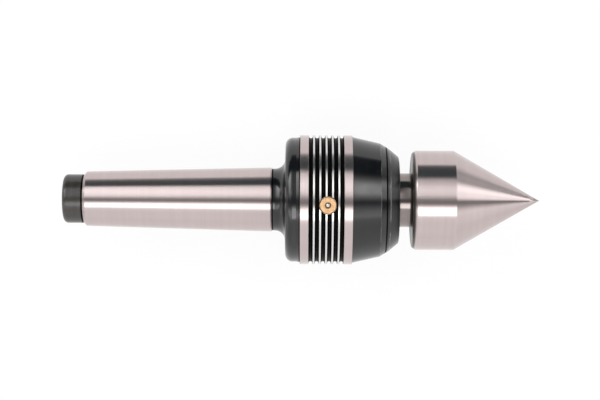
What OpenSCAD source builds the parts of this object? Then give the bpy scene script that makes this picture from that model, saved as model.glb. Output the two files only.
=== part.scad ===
// Revolving lathe centre on a Morse taper shank.
// X runs along the centre line towards the point, Z is up, and the origin is on the
// centre line at the taper's gauge plane. The ball oiler faces straight up.

/* [Shank] */
// Diameter of the taper at the gauge plane
gauge_d = 31.267; // [31.2:0.001:31.4]
// Diameter the taper gains per millimetre
taper_rate = 0.05194; // [0.05:0.00001:0.054]
// Ground taper behind the gauge plane, up to its rear chamfer
taper_back = 84.5; // [60:0.1:100]
// Ground taper in front of the gauge plane
taper_front = 6.5; // [5:0.1:6.6]
// Width of the chamfer at the small end of the taper
shank_chamfer = 1.3; // [0.6:0.05:1.5]
// Diameter of the unground stub behind the taper
stub_d = 24; // [20:0.1:24.2]
// Length of the stub, rear face to the taper's chamfer
stub_l = 10.1; // [6:0.1:16]
// Rounding of the stub's rear edge
stub_round = 2.2; // [0.5:0.1:3]

/* [Body] */
// Diameter of the neck between taper and body
neck_d = 30.6; // [30:0.1:31]
// Hollow fillet between the neck and the back face
neck_fillet = 5; // [2:0.1:5.5]
// Distance from the gauge plane to the body's back face
back_x = 13.2; // [13:0.1:14]
// Rounding of the body's rear edge
back_round = 3.6; // [1:0.1:4]
// Diameter over the ground bands and ribs
body_d = 63.6; // [63:0.1:66]
// Diameter of the blackened ground between the ribs
relief_d = 61.2; // [60:0.1:61.8]
// Distance from the gauge plane to the rear ground band
band_x = 20.4; // [19:0.1:22]
// Width of each of the two ground bands
band_w = 4.25; // [3:0.05:6]
// Width of one rib
rib_w = 1.07; // [0.6:0.01:1.6]
// Width of one groove
groove_w = 1.96; // [1:0.01:2.2]
// Depth of one groove, whose bottom is a half round
groove_depth = 1.45; // [1.2:0.05:1.6]
// Ribs between the two bands
rib_count = 5; // [1:1:5]

/* [Nose] */
// Length of the long nose cone in front of the bands
nose_l = 13.6; // [12:0.1:15]
// Slope of the long nose cone against the centre line, in degrees
nose_slope = 12.9; // [8:0.1:14]
// Length of the steeper chamfer in front of it
nose_chamfer_l = 2.9; // [2:0.05:3.5]
// Slope of that chamfer, in degrees
nose_chamfer_slope = 31; // [25:1:35]
// Length of the screwed nose cap in front of the housing
cap_l = 6.3; // [6:0.05:8]
// Length of the cap's rear cone, next to the joint
cap_rear_l = 1.75; // [1.2:0.05:2.5]
// Slope of that rear cone, in degrees
cap_rear_slope = 34; // [28:1:38]
// Slope of the front cone, in degrees
cap_slope = 39.5; // [30:0.5:42]

/* [Point] */
// Diameter of the visible neck behind the head
point_neck_d = 26.6; // [25:0.1:27.6]
// Open gap between the cap and the head
head_gap = 6.55; // [4:0.05:10]
// Radius where the neck runs into the back of the head
root_fillet = 1.3; // [0.5:0.1:1.5]
// Diameter of the head
head_d = 49; // [40:0.5:60]
// Length of the head up to the point
head_l = 20.6; // [10:0.05:30]
// Length of the chamfer round the head's rear edge
head_chamfer_l = 1.9; // [1.3:0.1:3]
// Slope of that chamfer, in degrees
head_chamfer_slope = 35; // [30:1:50]
// Included angle of the point, in degrees
point_angle = 60; // [60:15:90]

/* [Front ball bearing] */
// Bore of the front bearing
front_bore = 25; // [24:0.1:25.4]
// Outside diameter of the front bearing
front_od = 47; // [46:0.1:47.4]
// Width of the front bearing
front_w = 12; // [11:0.1:12]
// Diameter of its balls
front_ball_d = 6.75; // [6:0.05:7]
// Number of its balls
front_ball_count = 10; // [8:1:11]

/* [Thrust ball bearing] */
// Bore of the thrust bearing's shaft washer
thrust_bore = 20; // [19:0.1:20.4]
// Outside diameter of the thrust bearing
thrust_od = 35; // [34:0.1:36]
// Height of the thrust bearing over both washers
thrust_h = 10; // [9.6:0.1:10]
// Diameter of its balls
thrust_ball_d = 6; // [5.5:0.05:6.2]
// Number of its balls
thrust_ball_count = 12; // [8:1:12]

/* [Needle bearing] */
// Bore under the needles
needle_bore = 15; // [14:0.1:15.4]
// Outside diameter of the drawn cup
needle_od = 21; // [20.6:0.1:21.2]
// Length of the drawn cup
needle_l = 16; // [14:0.1:16]
// Diameter of one needle
needle_d = 2; // [1.6:0.05:2]
// Number of needles
needle_count = 16; // [10:1:18]

/* [Ball oiler] */
// Distance from the gauge plane to the oiler
oiler_x = 33.9; // [32:0.1:38]
// Diameter of the oiler body
oiler_d = 8.5; // [6:0.1:9]
// Diameter of the oiler's ball
oiler_ball_d = 3; // [2.5:0.1:3.2]
// How far an oil can's nozzle pushes the ball in
oiler_stroke = 1; // [0.5:0.1:1.5]

/* [Hidden] */
$fn = 96;

running = 0.02;       // radial room between a rolling element and its track
shadow_gap = 0.35;    // width of the line turned into the cap at its joint
edge_break = 0.15;    // broken edge of the ground bands

// Stations along the centre line, rear to front
taper_rear_x = -taper_back;
stub_front_x = taper_rear_x - shank_chamfer;
rear_x = stub_front_x - stub_l;
fillet_x = back_x - 0.15 - neck_fillet;
groove_pitch = groove_w + rib_w;
groove_x = band_x + band_w;             // rear edge of the first groove
front_band_x = groove_x + rib_count * groove_pitch + groove_w;
nose_x = front_band_x + band_w;
nose_chamfer_x = nose_x + nose_l;
joint_x = nose_chamfer_x + nose_chamfer_l;
cap_front_x = joint_x + cap_l;
head_x = cap_front_x + head_gap;
point_x = head_x + head_l;

// Stations inside the housing
needle_x = -2;                          // rear end of the needle cup
thrust_x = 21;                          // seat of the thrust bearing
chamber_x = thrust_x + thrust_h;        // rear wall of the grease chamber
front_x = 41;                           // seat of the front bearing
cap_rear_x = front_x + front_w;         // where the cap clamps the outer ring

// Radii
relief_r = relief_d / 2;
body_r = body_d / 2;
groove_mid_r = body_r - groove_depth + groove_w / 2;
neck_r = neck_d / 2;
stub_r = stub_d / 2;
head_r = head_d / 2;
tip_x = point_x + head_r / tan(point_angle / 2);
nose_r = relief_r + 0.5;                // the cone starts proud of the grooves
nose_chamfer_r = nose_r - nose_l * tan(nose_slope);
joint_r = nose_chamfer_r - nose_chamfer_l * tan(nose_chamfer_slope);
cap_step_x = joint_x + cap_rear_l;
cap_step_r = joint_r - cap_rear_l * tan(cap_rear_slope);
cap_face_r = cap_step_r - (cap_l - cap_rear_l) * tan(cap_slope);
thread_r = 24;                          // cap thread, drawn at its outside
chamber_r = 21.5;                       // grease chamber
journal_r = 14;                         // ground track of the seal lip

front_pitch_r = (front_bore + front_od) / 4;
front_mid_x = front_x + front_w / 2;
thrust_pitch_r = (thrust_bore + thrust_od) / 4;
thrust_mid_x = thrust_x + thrust_h / 2;
needle_pitch_r = (needle_bore + needle_d) / 2;
needle_mid_x = needle_x + needle_l / 2;

function taper_r(x) = (gauge_d + taper_rate * x) / 2;

// ---- Turning helpers: a profile is a list of [station along the centre line, radius] ----

module turned() {
    rotate([0, 90, 0]) rotate_extrude() children();
}

// The half section between the centre line and the listed points
module profile(points) {
    last = points[len(points) - 1];
    polygon(concat([[0, points[0][0]]], [for (p = points) [p[1], p[0]]], [[0, last[0]]]));
}

module step(x0, x1, r) {
    profile([[x0, r], [x1, r]]);
}

module ring_step(x0, x1, r_in, r_out) {
    translate([r_in, x0]) square([r_out - r_in, x1 - x0]);
}

// Points of a ground land with both edges broken, between two base radii
function land(x0, w, rear_r, front_r) = [
    [x0, rear_r], [x0, body_r - edge_break], [x0 + edge_break, body_r],
    [x0 + w - edge_break, body_r], [x0 + w, body_r - edge_break], [x0 + w, front_r]
];

// Copies spaced round the centre line
module around_x(count) {
    for (i = [0 : count - 1]) rotate([i * 360 / count, 0, 0]) children();
}

// ---- Housing: shank, body and nose turned from one bar ----

undercut_w = 0.7;                        // relief in front of the ground taper
stub_groove_w = 0.9;                     // turned line between stub and chamfer
collar_w = 1.8;                          // low cone that runs up to the rear band
collar_rise = 0.32;
collar_gap = 0.35;                       // turned line between cone and band

module housing_outline() {
    outline = concat(
        [
            [rear_x, stub_r - stub_round], [rear_x + stub_round, stub_r],
            [stub_front_x - stub_groove_w, stub_r],
            [stub_front_x - stub_groove_w, stub_r - 0.2], [stub_front_x, stub_r - 0.2],
            [stub_front_x, taper_r(taper_rear_x) - shank_chamfer],
            [taper_rear_x, taper_r(taper_rear_x)], [taper_front, taper_r(taper_front)],
            [taper_front, neck_r - 0.15], [taper_front + undercut_w, neck_r - 0.15],
            [taper_front + undercut_w, neck_r],
            [fillet_x, neck_r], [fillet_x + neck_fillet, neck_r + neck_fillet],
            [back_x, relief_r - back_round], [back_x + back_round, relief_r],
            [band_x - collar_w, relief_r], [band_x - collar_gap, relief_r + collar_rise],
            [band_x - collar_gap, relief_r]
        ],
        land(band_x, band_w, relief_r, groove_mid_r),
        [for (i = [1 : rib_count])
            each land(groove_x + i * groove_pitch - rib_w, rib_w, groove_mid_r, groove_mid_r)],
        land(front_band_x, band_w, groove_mid_r, relief_r),
        [
            [nose_x, nose_r], [nose_chamfer_x, nose_chamfer_r],
            [joint_x - 0.1, joint_r + 0.06], [joint_x, joint_r - 0.1]
        ]
    );
    difference() {
        union() {
            profile(outline);
            translate([stub_r - stub_round, rear_x + stub_round]) circle(stub_round);
            translate([relief_r - back_round, back_x + back_round]) circle(back_round);
        }
        translate([neck_r + neck_fillet, fillet_x]) circle(neck_fillet);
        // half round bottoms of the grooves between the ribs
        for (i = [0 : rib_count])
            translate([groove_mid_r, groove_x + groove_w / 2 + i * groove_pitch]) circle(groove_w / 2);
    }
}

module cavity_outline() {
    profile([
        [needle_x - 8, 0], [needle_x - 4, 8.5], [needle_x, 8.5],
        [needle_x, needle_od / 2], [14, needle_od / 2],
        [14, thrust_bore / 2 + 0.7], [thrust_x, thrust_bore / 2 + 0.7],
        [thrust_x, thrust_od / 2], [chamber_x, thrust_od / 2],
        [chamber_x, chamber_r], [front_x, chamber_r],
        [front_x, front_od / 2], [cap_rear_x, front_od / 2],
        [cap_rear_x, thread_r], [joint_x + 1, thread_r]
    ]);
}

// Centre hole in the rear face: pilot, 60 degree seat and 120 degree guard chamfer
module rear_centre_outline() {
    pilot_r = 2;
    seat_r = 4.25;
    guard_r = 6.25;
    guard_x = rear_x + (guard_r - seat_r) * tan(30);
    seat_x = guard_x + (seat_r - pilot_r) / tan(30);
    profile([
        [rear_x - 1, guard_r], [rear_x, guard_r], [guard_x, seat_r],
        [seat_x, pilot_r], [seat_x + 5, pilot_r]
    ]);
}

oiler_top = body_r - 0.3;
oiler_bottom = 22.7;
oiler_mouth = 0.5;                       // depth of the dished mouth
oiler_lip = 0.3;                         // rim that stops the ball
oiler_seat_r = oiler_ball_d / 2 - 0.3;
oiler_bore_r = oiler_ball_d / 2 + 0.15;
oiler_floor = oiler_bottom + 0.9;
oiler_ball_z = oiler_top - oiler_mouth - oiler_lip
    - sqrt(pow(oiler_ball_d / 2, 2) - pow(oiler_seat_r, 2)) - running;

module housing() color([0.17, 0.17, 0.18]) {
    difference() {
        turned() difference() {
            housing_outline();
            cavity_outline();
            rear_centre_outline();
        }
        // oiler hole, its spot face and the drilling into the grease chamber
        translate([oiler_x, 0, oiler_bottom]) cylinder(h = 20, d = oiler_d);
        translate([oiler_x, 0, chamber_r - 2]) cylinder(h = 6, r = 2);
        translate([oiler_x, 0, body_r - groove_depth - 0.1]) cylinder(h = 5, d = oiler_d + 0.2);
    }
}

// ---- Nose cap: screwed ring that clamps the front bearing and carries the seal ----

seal_w = 7;
seal_r = 19;                             // outside of the shaft seal
seal_front_x = cap_front_x - 3;
seal_rear_x = seal_front_x - seal_w;

module nose_cap() color([0.15, 0.15, 0.16]) {
    rim = 0.25;
    line_r = joint_r - 0.6;
    difference() {
        turned() difference() {
            // the thread runs out in a groove behind the flange
            profile([
                [cap_rear_x, thread_r], [joint_x - 1.4, thread_r],
                [joint_x - 1.4, thread_r - 0.8], [joint_x, thread_r - 0.8],
                [joint_x, line_r], [joint_x + shadow_gap, line_r],
                [joint_x + shadow_gap, joint_r - shadow_gap * tan(cap_rear_slope)],
                [cap_step_x, cap_step_r],
                [cap_front_x - rim, cap_face_r + rim * tan(cap_slope)],
                [cap_front_x, cap_face_r - rim]
            ]);
            profile([
                [cap_rear_x - 1, seal_r + 1.2], [seal_rear_x, seal_r + 1.2],
                [seal_rear_x, seal_r], [seal_front_x, seal_r],
                [seal_front_x, journal_r + 0.25], [cap_front_x + 1, journal_r + 0.25]
            ]);
        }
        // four holes for a pin spanner
        around_x(4)
            translate([cap_front_x - 2.2, 0, 17.6]) rotate([0, 90, 0]) cylinder(h = 5, d = 3.4);
    }
}

module seal_case() color([0.45, 0.45, 0.47]) {
    turned() {
        ring_step(seal_rear_x, seal_front_x, seal_r - 0.8, seal_r);
        ring_step(seal_front_x - 0.8, seal_front_x, 15.6, seal_r - 0.8);
    }
}

garter_x = seal_rear_x + 2;
garter_r = 16.55;
garter_wire = 0.7;

module seal_lip() color([0.12, 0.12, 0.13]) {
    track_r = journal_r + 0.05;
    turned() difference() {
        polygon([
            [track_r, seal_front_x - 0.6],
            [15.6, seal_front_x],
            [15.6, seal_front_x - 0.8],
            [seal_r - 0.8, seal_front_x - 0.8],
            [seal_r - 0.8, seal_front_x - 1.5],
            [16.1, seal_front_x - 1.7],
            [15.5, garter_x + 1.5],
            [16.9, garter_x + 0.9],
            [16.9, garter_x - 1.1],
            [15.2, garter_x - 1.2],
            [track_r, garter_x + 0.2],
            [14.8, garter_x + 1.9],
            [14.8, seal_front_x - 1.6]
        ]);
        translate([garter_r, garter_x]) circle(garter_wire + running);
        ring_step(garter_x - garter_wire - running, garter_x + garter_wire + running, garter_r, 18);
    }
}

module garter_spring() color([0.6, 0.6, 0.62]) {
    turned() translate([garter_r, garter_x]) circle(garter_wire);
}

// ---- Spindle: running point ground in one piece with its journals ----

nut_w = 7;
washer_t = 1.25;
washer_x = front_x - washer_t;
nut_x = washer_x - nut_w;
keyway_w = 5;
keyway_r = front_bore / 2 - 1.5;
spindle_rear_x = needle_x - 1;
needle_step_x = 15;

// The head's rear corner: an arc that runs from the back face into the chamfer
corner_r = 1.2;
corner_rise = corner_r + (head_chamfer_l - corner_r) * sin(head_chamfer_slope);
corner_mid_r = head_r - corner_rise / cos(head_chamfer_slope);

module spindle_outline() {
    neck = point_neck_d / 2;
    difference() {
        spindle_body();
        translate([neck + root_fillet, head_x - root_fillet]) circle(root_fillet);
    }
}

module spindle_body() {
    neck = point_neck_d / 2;
    profile([
        [spindle_rear_x, needle_bore / 2 - 0.8],
        [spindle_rear_x + 0.8, needle_bore / 2 - running],
        [needle_step_x, needle_bore / 2 - running], [needle_step_x, thrust_bore / 2],
        [chamber_x, thrust_bore / 2], [chamber_x, front_bore / 2 - 0.3],
        [nut_x, front_bore / 2 - 0.3], [nut_x, front_bore / 2],
        [cap_rear_x, front_bore / 2], [cap_rear_x, journal_r],
        [cap_front_x - 1.4, journal_r], [cap_front_x - 0.7, neck],
        [head_x - root_fillet, neck], [head_x, neck + root_fillet], [head_x, corner_mid_r],
        [head_x + corner_r * (1 - sin(head_chamfer_slope)),
         corner_mid_r + corner_r * cos(head_chamfer_slope)],
        [head_x + head_chamfer_l, head_r], [point_x, head_r], [tip_x, 0]
    ]);
    translate([corner_mid_r, head_x + corner_r]) circle(corner_r);
}

module spindle() color([0.78, 0.77, 0.76]) {
    difference() {
        turned() spindle_outline();
        // keyway for the tab washer's inner tongue
        translate([chamber_x - 1, -keyway_w / 2, keyway_r])
            cube([front_x - chamber_x + 1, keyway_w, front_bore]);
        // centre hole in the rear end
        turned() profile([[spindle_rear_x - 1, 2.4], [spindle_rear_x, 2.4], [spindle_rear_x + 4.1, 0]]);
    }
}

module ring_nut() color([0.35, 0.35, 0.37]) {
    nut_r = 19;
    slot_w = 5;
    slot_depth = 2;
    difference() {
        turned() difference() {
            profile([[nut_x, nut_r - 1], [nut_x + 1, nut_r], [washer_x - 2.4, nut_r], [washer_x, 16.5]]);
            step(nut_x - 1, washer_x + 1, front_bore / 2);
        }
        around_x(4)
            translate([nut_x - 1, -slot_w / 2, nut_r - slot_depth]) cube([nut_w + 2, slot_w, 10]);
    }
}

module tab_washer() color([0.62, 0.62, 0.64]) {
    tab_count = 12;
    tab_w = 3.6;
    tab_r = 19.2;
    difference() {
        union() {
            turned() ring_step(washer_x, front_x, front_bore / 2, 16.4);
            for (i = [1 : tab_count - 1])
                rotate([i * 360 / tab_count, 0, 0])
                    translate([washer_x, -tab_w / 2, 16]) cube([washer_t, tab_w, tab_r - 16]);
            // the tab bent over into a slot of the nut
            translate([washer_x, -tab_w / 2, 16]) cube([washer_t, tab_w, 2.4]);
            translate([washer_x - 3.6, -tab_w / 2, 17.15]) cube([3.7, tab_w, washer_t]);
            // tongue in the spindle's keyway
            translate([washer_x, -keyway_w / 2 + 0.2, keyway_r + 0.2])
                cube([washer_t, keyway_w - 0.4, 2]);
        }
        turned() step(washer_x - 5, washer_x, 16);
    }
}

// ---- Front bearing: deep groove balls ----

front_race_r = front_ball_d / 2 + running;
front_shoulder = 1.85;                    // half the open width between the rings

module front_outer_ring() color([0.74, 0.74, 0.75]) {
    turned() difference() {
        ring_step(front_x, cap_rear_x, front_pitch_r + front_shoulder, front_od / 2);
        translate([front_pitch_r, front_mid_x]) circle(front_race_r);
    }
}

module front_inner_ring() color([0.74, 0.74, 0.75]) {
    turned() difference() {
        ring_step(front_x, cap_rear_x, front_bore / 2, front_pitch_r - front_shoulder);
        translate([front_pitch_r, front_mid_x]) circle(front_race_r);
    }
}

module front_balls() color([0.85, 0.85, 0.86]) {
    around_x(front_ball_count)
        translate([front_mid_x, 0, front_pitch_r]) sphere(d = front_ball_d);
}

module front_cage() color([0.75, 0.6, 0.3]) {
    cage_half = 0.7;
    cage_w = 8.8;
    difference() {
        turned() ring_step(front_mid_x - cage_w / 2, front_mid_x + cage_w / 2,
                           front_pitch_r - cage_half, front_pitch_r + cage_half);
        around_x(front_ball_count)
            translate([front_mid_x, 0, front_pitch_r]) sphere(d = front_ball_d + 0.3);
    }
}

// ---- Thrust bearing: balls between two grooved washers ----

thrust_washer_t = 3.2;
thrust_race_r = thrust_ball_d / 2 + running;

module thrust_housing_washer() color([0.74, 0.74, 0.75]) {
    turned() difference() {
        ring_step(thrust_x, thrust_x + thrust_washer_t, thrust_bore / 2 + 0.5, thrust_od / 2);
        translate([thrust_pitch_r, thrust_mid_x]) circle(thrust_race_r);
    }
}

module thrust_shaft_washer() color([0.74, 0.74, 0.75]) {
    turned() difference() {
        ring_step(chamber_x - thrust_washer_t, chamber_x, thrust_bore / 2, thrust_od / 2 - 0.25);
        translate([thrust_pitch_r, thrust_mid_x]) circle(thrust_race_r);
    }
}

module thrust_balls() color([0.85, 0.85, 0.86]) {
    around_x(thrust_ball_count)
        translate([thrust_mid_x, 0, thrust_pitch_r]) sphere(d = thrust_ball_d);
}

module thrust_cage() color([0.75, 0.6, 0.3]) {
    cage_t = 2.4;
    difference() {
        turned() ring_step(thrust_mid_x - cage_t / 2, thrust_mid_x + cage_t / 2,
                           thrust_bore / 2 + 0.3, thrust_od / 2 - 0.5);
        around_x(thrust_ball_count)
            translate([thrust_mid_x - cage_t, 0, thrust_pitch_r])
                rotate([0, 90, 0]) cylinder(h = 2 * cage_t, d = thrust_ball_d + 0.3);
    }
}

// ---- Rear needle bearing: needles in a drawn cup ----

needle_cup_in = needle_pitch_r + needle_d / 2 + running;
needle_run_l = needle_l - 4;

module needle_cup() color([0.68, 0.68, 0.7]) {
    flange_t = 0.8;
    turned() difference() {
        ring_step(needle_x, needle_x + needle_l, needle_bore / 2 + 0.45, needle_od / 2);
        ring_step(needle_x + flange_t, needle_x + needle_l - flange_t,
                  needle_bore / 2, needle_cup_in);
    }
}

module needle_rollers() color([0.85, 0.85, 0.86]) {
    around_x(needle_count)
        translate([needle_mid_x - needle_run_l / 2, 0, needle_pitch_r])
            rotate([0, 90, 0]) cylinder(h = needle_run_l, d = needle_d, $fn = 32);
}

module needle_cage() color([0.6, 0.58, 0.55]) {
    pocket_w = needle_d + 0.1;
    pocket_l = needle_run_l + 0.2;
    difference() {
        turned() ring_step(needle_mid_x - needle_l / 2 + 1, needle_mid_x + needle_l / 2 - 1,
                           needle_pitch_r - 0.45, needle_pitch_r + 0.65);
        around_x(needle_count)
            translate([needle_mid_x - pocket_l / 2, -pocket_w / 2, needle_pitch_r - 3])
                cube([pocket_l, pocket_w, 6]);
    }
}

// ---- Ball oiler: brass cup, steel ball and spring, pressed in from above ----

module upright() {
    translate([oiler_x, 0, 0]) rotate_extrude() children();
}

module oiler_body() color([0.85, 0.65, 0.38]) {
    bevel = 0.45;
    upright() difference() {
        profile([
            [oiler_bottom, oiler_d / 2], [oiler_top - bevel, oiler_d / 2],
            [oiler_top, oiler_d / 2 - bevel]
        ]);
        profile([
            [oiler_bottom - 1, 0.9], [oiler_floor, 0.9],
            [oiler_floor, oiler_bore_r], [oiler_top - oiler_mouth - oiler_lip, oiler_bore_r],
            [oiler_top - oiler_mouth - oiler_lip, oiler_seat_r], [oiler_top - oiler_mouth, oiler_seat_r],
            [oiler_top, oiler_seat_r + 0.45], [oiler_top + 1, oiler_seat_r + 0.45]
        ]);
    }
}

module oiler_ball() color([0.8, 0.8, 0.82]) {
    translate([oiler_x, 0, oiler_ball_z]) sphere(d = oiler_ball_d);
}

// One closed tube swept round a helix, its rings square to the climb
module oiler_spring() {
    wire_r = 0.16;
    coil_r = 1.2;
    turns = 6;
    per_turn = 14;
    sides = 8;
    z0 = oiler_floor + wire_r;
    z1 = oiler_ball_z - sqrt(pow(oiler_ball_d / 2 + wire_r, 2) - pow(coil_r, 2)) - running;
    rings = turns * per_turn;
    climb = atan2(z1 - z0, turns * 2 * PI * coil_r);
    function along(i, j) =
        let (a = i * 360 / per_turn, b = j * 360 / sides,
             out = coil_r + wire_r * cos(b),
             back = wire_r * sin(b) * sin(climb))
        [out * cos(a) + back * sin(a), out * sin(a) - back * cos(a),
         z0 + (z1 - z0) * i / rings + wire_r * sin(b) * cos(climb)];
    points = [for (i = [0 : rings], j = [0 : sides - 1]) along(i, j)];
    walls = [for (i = [0 : rings - 1], j = [0 : sides - 1])
        let (k = (j + 1) % sides)
        [i * sides + j, i * sides + k, (i + 1) * sides + k, (i + 1) * sides + j]];
    start_cap = [[for (j = [sides - 1 : -1 : 0]) j]];
    end_cap = [[for (j = [0 : sides - 1]) rings * sides + j]];
    color([0.7, 0.7, 0.72])
        translate([oiler_x, 0, 0]) polyhedron(points, concat(walls, start_cap, end_cap));
}

housing();
nose_cap();
seal_case();
seal_lip();
garter_spring();
spindle();
ring_nut();
tab_washer();
front_outer_ring();
front_inner_ring();
front_balls();
front_cage();
thrust_housing_washer();
thrust_shaft_washer();
thrust_balls();
thrust_cage();
needle_cup();
needle_rollers();
needle_cage();
oiler_body();
oiler_ball();
oiler_spring();
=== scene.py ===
# %% [markdown]
# # A revolving lathe centre, dressed on its packed frame
# A revolving centre sits in a lathe's tailstock and carries the free end of the work.
# The frame arrives finished: housing, running point, bearings and the small ball oiler
# are solids that this notebook never moves or reshapes. What is left is what the eye
# meets first, so each piece gets the surface that its maker gave it, and a studio is
# built whose light shows those surfaces. The frame is loaded first, because every
# later step asks it where things are.

# %% Load the frame
import functools
import math

import bpy
import numpy as np
from mathutils import Matrix, Vector


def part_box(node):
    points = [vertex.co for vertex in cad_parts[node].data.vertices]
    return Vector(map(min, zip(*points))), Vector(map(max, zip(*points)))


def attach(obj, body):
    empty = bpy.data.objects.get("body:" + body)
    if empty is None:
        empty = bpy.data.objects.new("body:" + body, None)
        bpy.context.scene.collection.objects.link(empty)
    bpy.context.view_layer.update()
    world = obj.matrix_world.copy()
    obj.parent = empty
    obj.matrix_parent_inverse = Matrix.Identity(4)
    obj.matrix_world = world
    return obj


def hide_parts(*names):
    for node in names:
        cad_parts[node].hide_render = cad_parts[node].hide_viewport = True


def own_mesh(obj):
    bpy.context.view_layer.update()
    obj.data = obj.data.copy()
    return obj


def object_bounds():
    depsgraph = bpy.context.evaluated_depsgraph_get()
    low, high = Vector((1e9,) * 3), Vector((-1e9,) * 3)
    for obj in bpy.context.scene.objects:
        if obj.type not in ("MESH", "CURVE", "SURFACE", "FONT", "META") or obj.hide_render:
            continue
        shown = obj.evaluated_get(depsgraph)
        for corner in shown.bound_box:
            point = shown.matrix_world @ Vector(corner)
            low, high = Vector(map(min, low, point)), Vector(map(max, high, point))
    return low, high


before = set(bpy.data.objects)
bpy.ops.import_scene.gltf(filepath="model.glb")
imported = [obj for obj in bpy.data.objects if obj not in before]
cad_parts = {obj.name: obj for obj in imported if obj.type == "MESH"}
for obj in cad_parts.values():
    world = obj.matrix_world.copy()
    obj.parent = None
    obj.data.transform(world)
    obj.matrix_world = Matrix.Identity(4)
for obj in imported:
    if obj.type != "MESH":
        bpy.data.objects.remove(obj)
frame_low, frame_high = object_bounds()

mm = 0.001
print("pieces in the frame:", len(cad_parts))
print("frame size in mm:", [round((b - a) / mm, 1) for a, b in zip(frame_low, frame_high)])

# %% [markdown]
# ## The camera
# The centre lies on its side with the oiler up, and is seen from straight above with
# the camera tipped a few degrees, so the oiler sits just under the middle line. A far
# camera with a long lens keeps the cylinders' ends almost flat, which is how tools are
# shown in a catalogue. A near camera would open the rear face to view and would make
# the point look swollen. The small roll lets the tool lie a touch askew.

# %% Camera
view_width = 296.28 * mm       # length along the centre line that fills the view
distance = 880 * mm
aim = Vector((24.37 * mm, -0.16 * mm, 0))
shift = -4 * mm                # the view's middle lies this far along X from the aim
tip = math.radians(5.0)
roll = math.radians(0.286)
film_width = 36                # in millimetres, as the lens is

camera_data = bpy.data.cameras.new("camera")
camera = bpy.data.objects.new("camera", camera_data)
bpy.context.scene.collection.objects.link(camera)
bpy.context.scene.camera = camera
turn = Matrix.Rotation(-tip, 3, "X") @ Matrix.Rotation(roll, 3, "Z")
camera.rotation_euler = turn.to_euler()
camera.location = aim + turn @ Vector((0, 0, distance))
camera_data.sensor_width = film_width
camera_data.lens = film_width * distance / view_width
camera_data.shift_x = shift / view_width
camera_data.clip_start, camera_data.clip_end = 0.01, 20
print("lens in mm:", round(camera_data.lens, 1))

# %% [markdown]
# ## A short hand for shader nodes
# Every finish below is a small network of nodes. Blender lets a script make each node
# and each link by hand, but twenty networks written that way are unreadable. This
# class keeps one tree and adds nodes to it: a value that is a socket gets linked, and
# a plain number or colour is set on the socket itself. Three small functions start a
# material, say where a point of the piece lies, and hand over the finished shader.

# %% Node helper
class Nodes:
    """One node tree, and the few kinds of node that the finishes are built from."""

    def __init__(self, tree):
        self.tree = tree
        tree.nodes.clear()

    def add(self, kind, inputs=None, **settings):
        made = self.tree.nodes.new(kind)
        for name, value in settings.items():
            setattr(made, name, value)
        for name, value in (inputs or {}).items():
            self.feed(value, made.inputs[name])
        return made

    def feed(self, value, socket):
        if isinstance(value, bpy.types.NodeSocket):
            self.tree.links.new(value, socket)
        else:
            socket.default_value = value

    def math(self, operation, *values):
        made = self.add("ShaderNodeMath", operation=operation)
        for value, socket in zip(values, made.inputs):
            self.feed(value, socket)
        return made.outputs[0]

    def chain(self, operation, *values):
        """The same operation between all the values, from first to last."""
        return functools.reduce(lambda a, b: self.math(operation, a, b), values)

    def remap(self, value, low, high, to_low=0.0, to_high=1.0, smooth=True):
        """Low to high becomes to_low to to_high, and stops there on both sides."""
        made = self.add("ShaderNodeMapRange", {0: value, 1: low, 2: high, 3: to_low, 4: to_high})
        made.interpolation_type = "SMOOTHSTEP" if smooth else "LINEAR"
        return made.outputs[0]

    def mix(self, factor, a, b):
        """Colour a at factor 0, colour b at factor 1."""
        made = self.add("ShaderNodeMix", data_type="RGBA")
        for value, socket in ((factor, made.inputs[0]), (a, made.inputs[6]), (b, made.inputs[7])):
            self.feed(value, socket)
        return made.outputs[2]

    def shaders(self, factor, a, b):
        """Shader a at factor 0, shader b at factor 1."""
        made = self.add("ShaderNodeMixShader")
        for value, socket in zip((factor, a, b), made.inputs):
            self.feed(value, socket)
        return made.outputs[0]

print("the node helper can:", ", ".join(name for name in vars(Nodes) if not name.startswith("_")))

# %% Starting and ending a material
def start_finish(name):
    """A new material and its empty tree."""
    made = bpy.data.materials.new(name)
    made.use_nodes = True
    return made, Nodes(made.node_tree)

def own_place(n):
    """Where a point lies on its piece, in metres from the piece's origin."""
    return n.add("ShaderNodeTexCoord").outputs["Object"]

def end_finish(made, n, shader):
    """The last node, which hands the shader to the surface."""
    n.add("ShaderNodeOutputMaterial", {"Surface": shader})
    print(made.name, "nodes:", len(made.node_tree.nodes))
    return made

# %% [markdown]
# ## The studio
# Ground steel has hardly a colour of its own: what we read as steel is the room
# mirrored in it. The room is a white tent with soft boxes, a black card above and a
# dark gap in the middle where the camera looks in. Lamps could build that, but a long
# turned tool mirrors the room in a simple way that a world can copy directly. Going
# round the tool turns the mirrored ray round the X axis, and every slope along the
# tool makes the ray lean along X. So the world is written in those two angles. Round
# the axis the light is a ramp, called a ring here, and each range of lean has a ring
# of its own: cylinders mirror the first one, gentle cones and the smear of the
# grinding marks the next, the point's cone and the chamfers the far ones.

# %% The rings of light
# Each stop is the angle round the centre line in degrees, 0 straight at the camera and
# positive towards the top of the view, and the brightness there, where the tent is 1.
black_card = 0.065

# Square to the tool: a narrow soft box below the camera, the card well above it.
square_ring = [
    (-180, 1.0), (-100, 1.0), (-75, 1.2), (-40.8, 1.15), (-37, 1.5), (-34, 5.5), (-17.5, 5.2),
    (-14, 1.9), (-11, 0.8), (-8, 0.25), (2, 0.2), (8, 0.4), (51, 0.42), (54, black_card),
    (90, black_card), (93.5, 1.0)]

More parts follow.
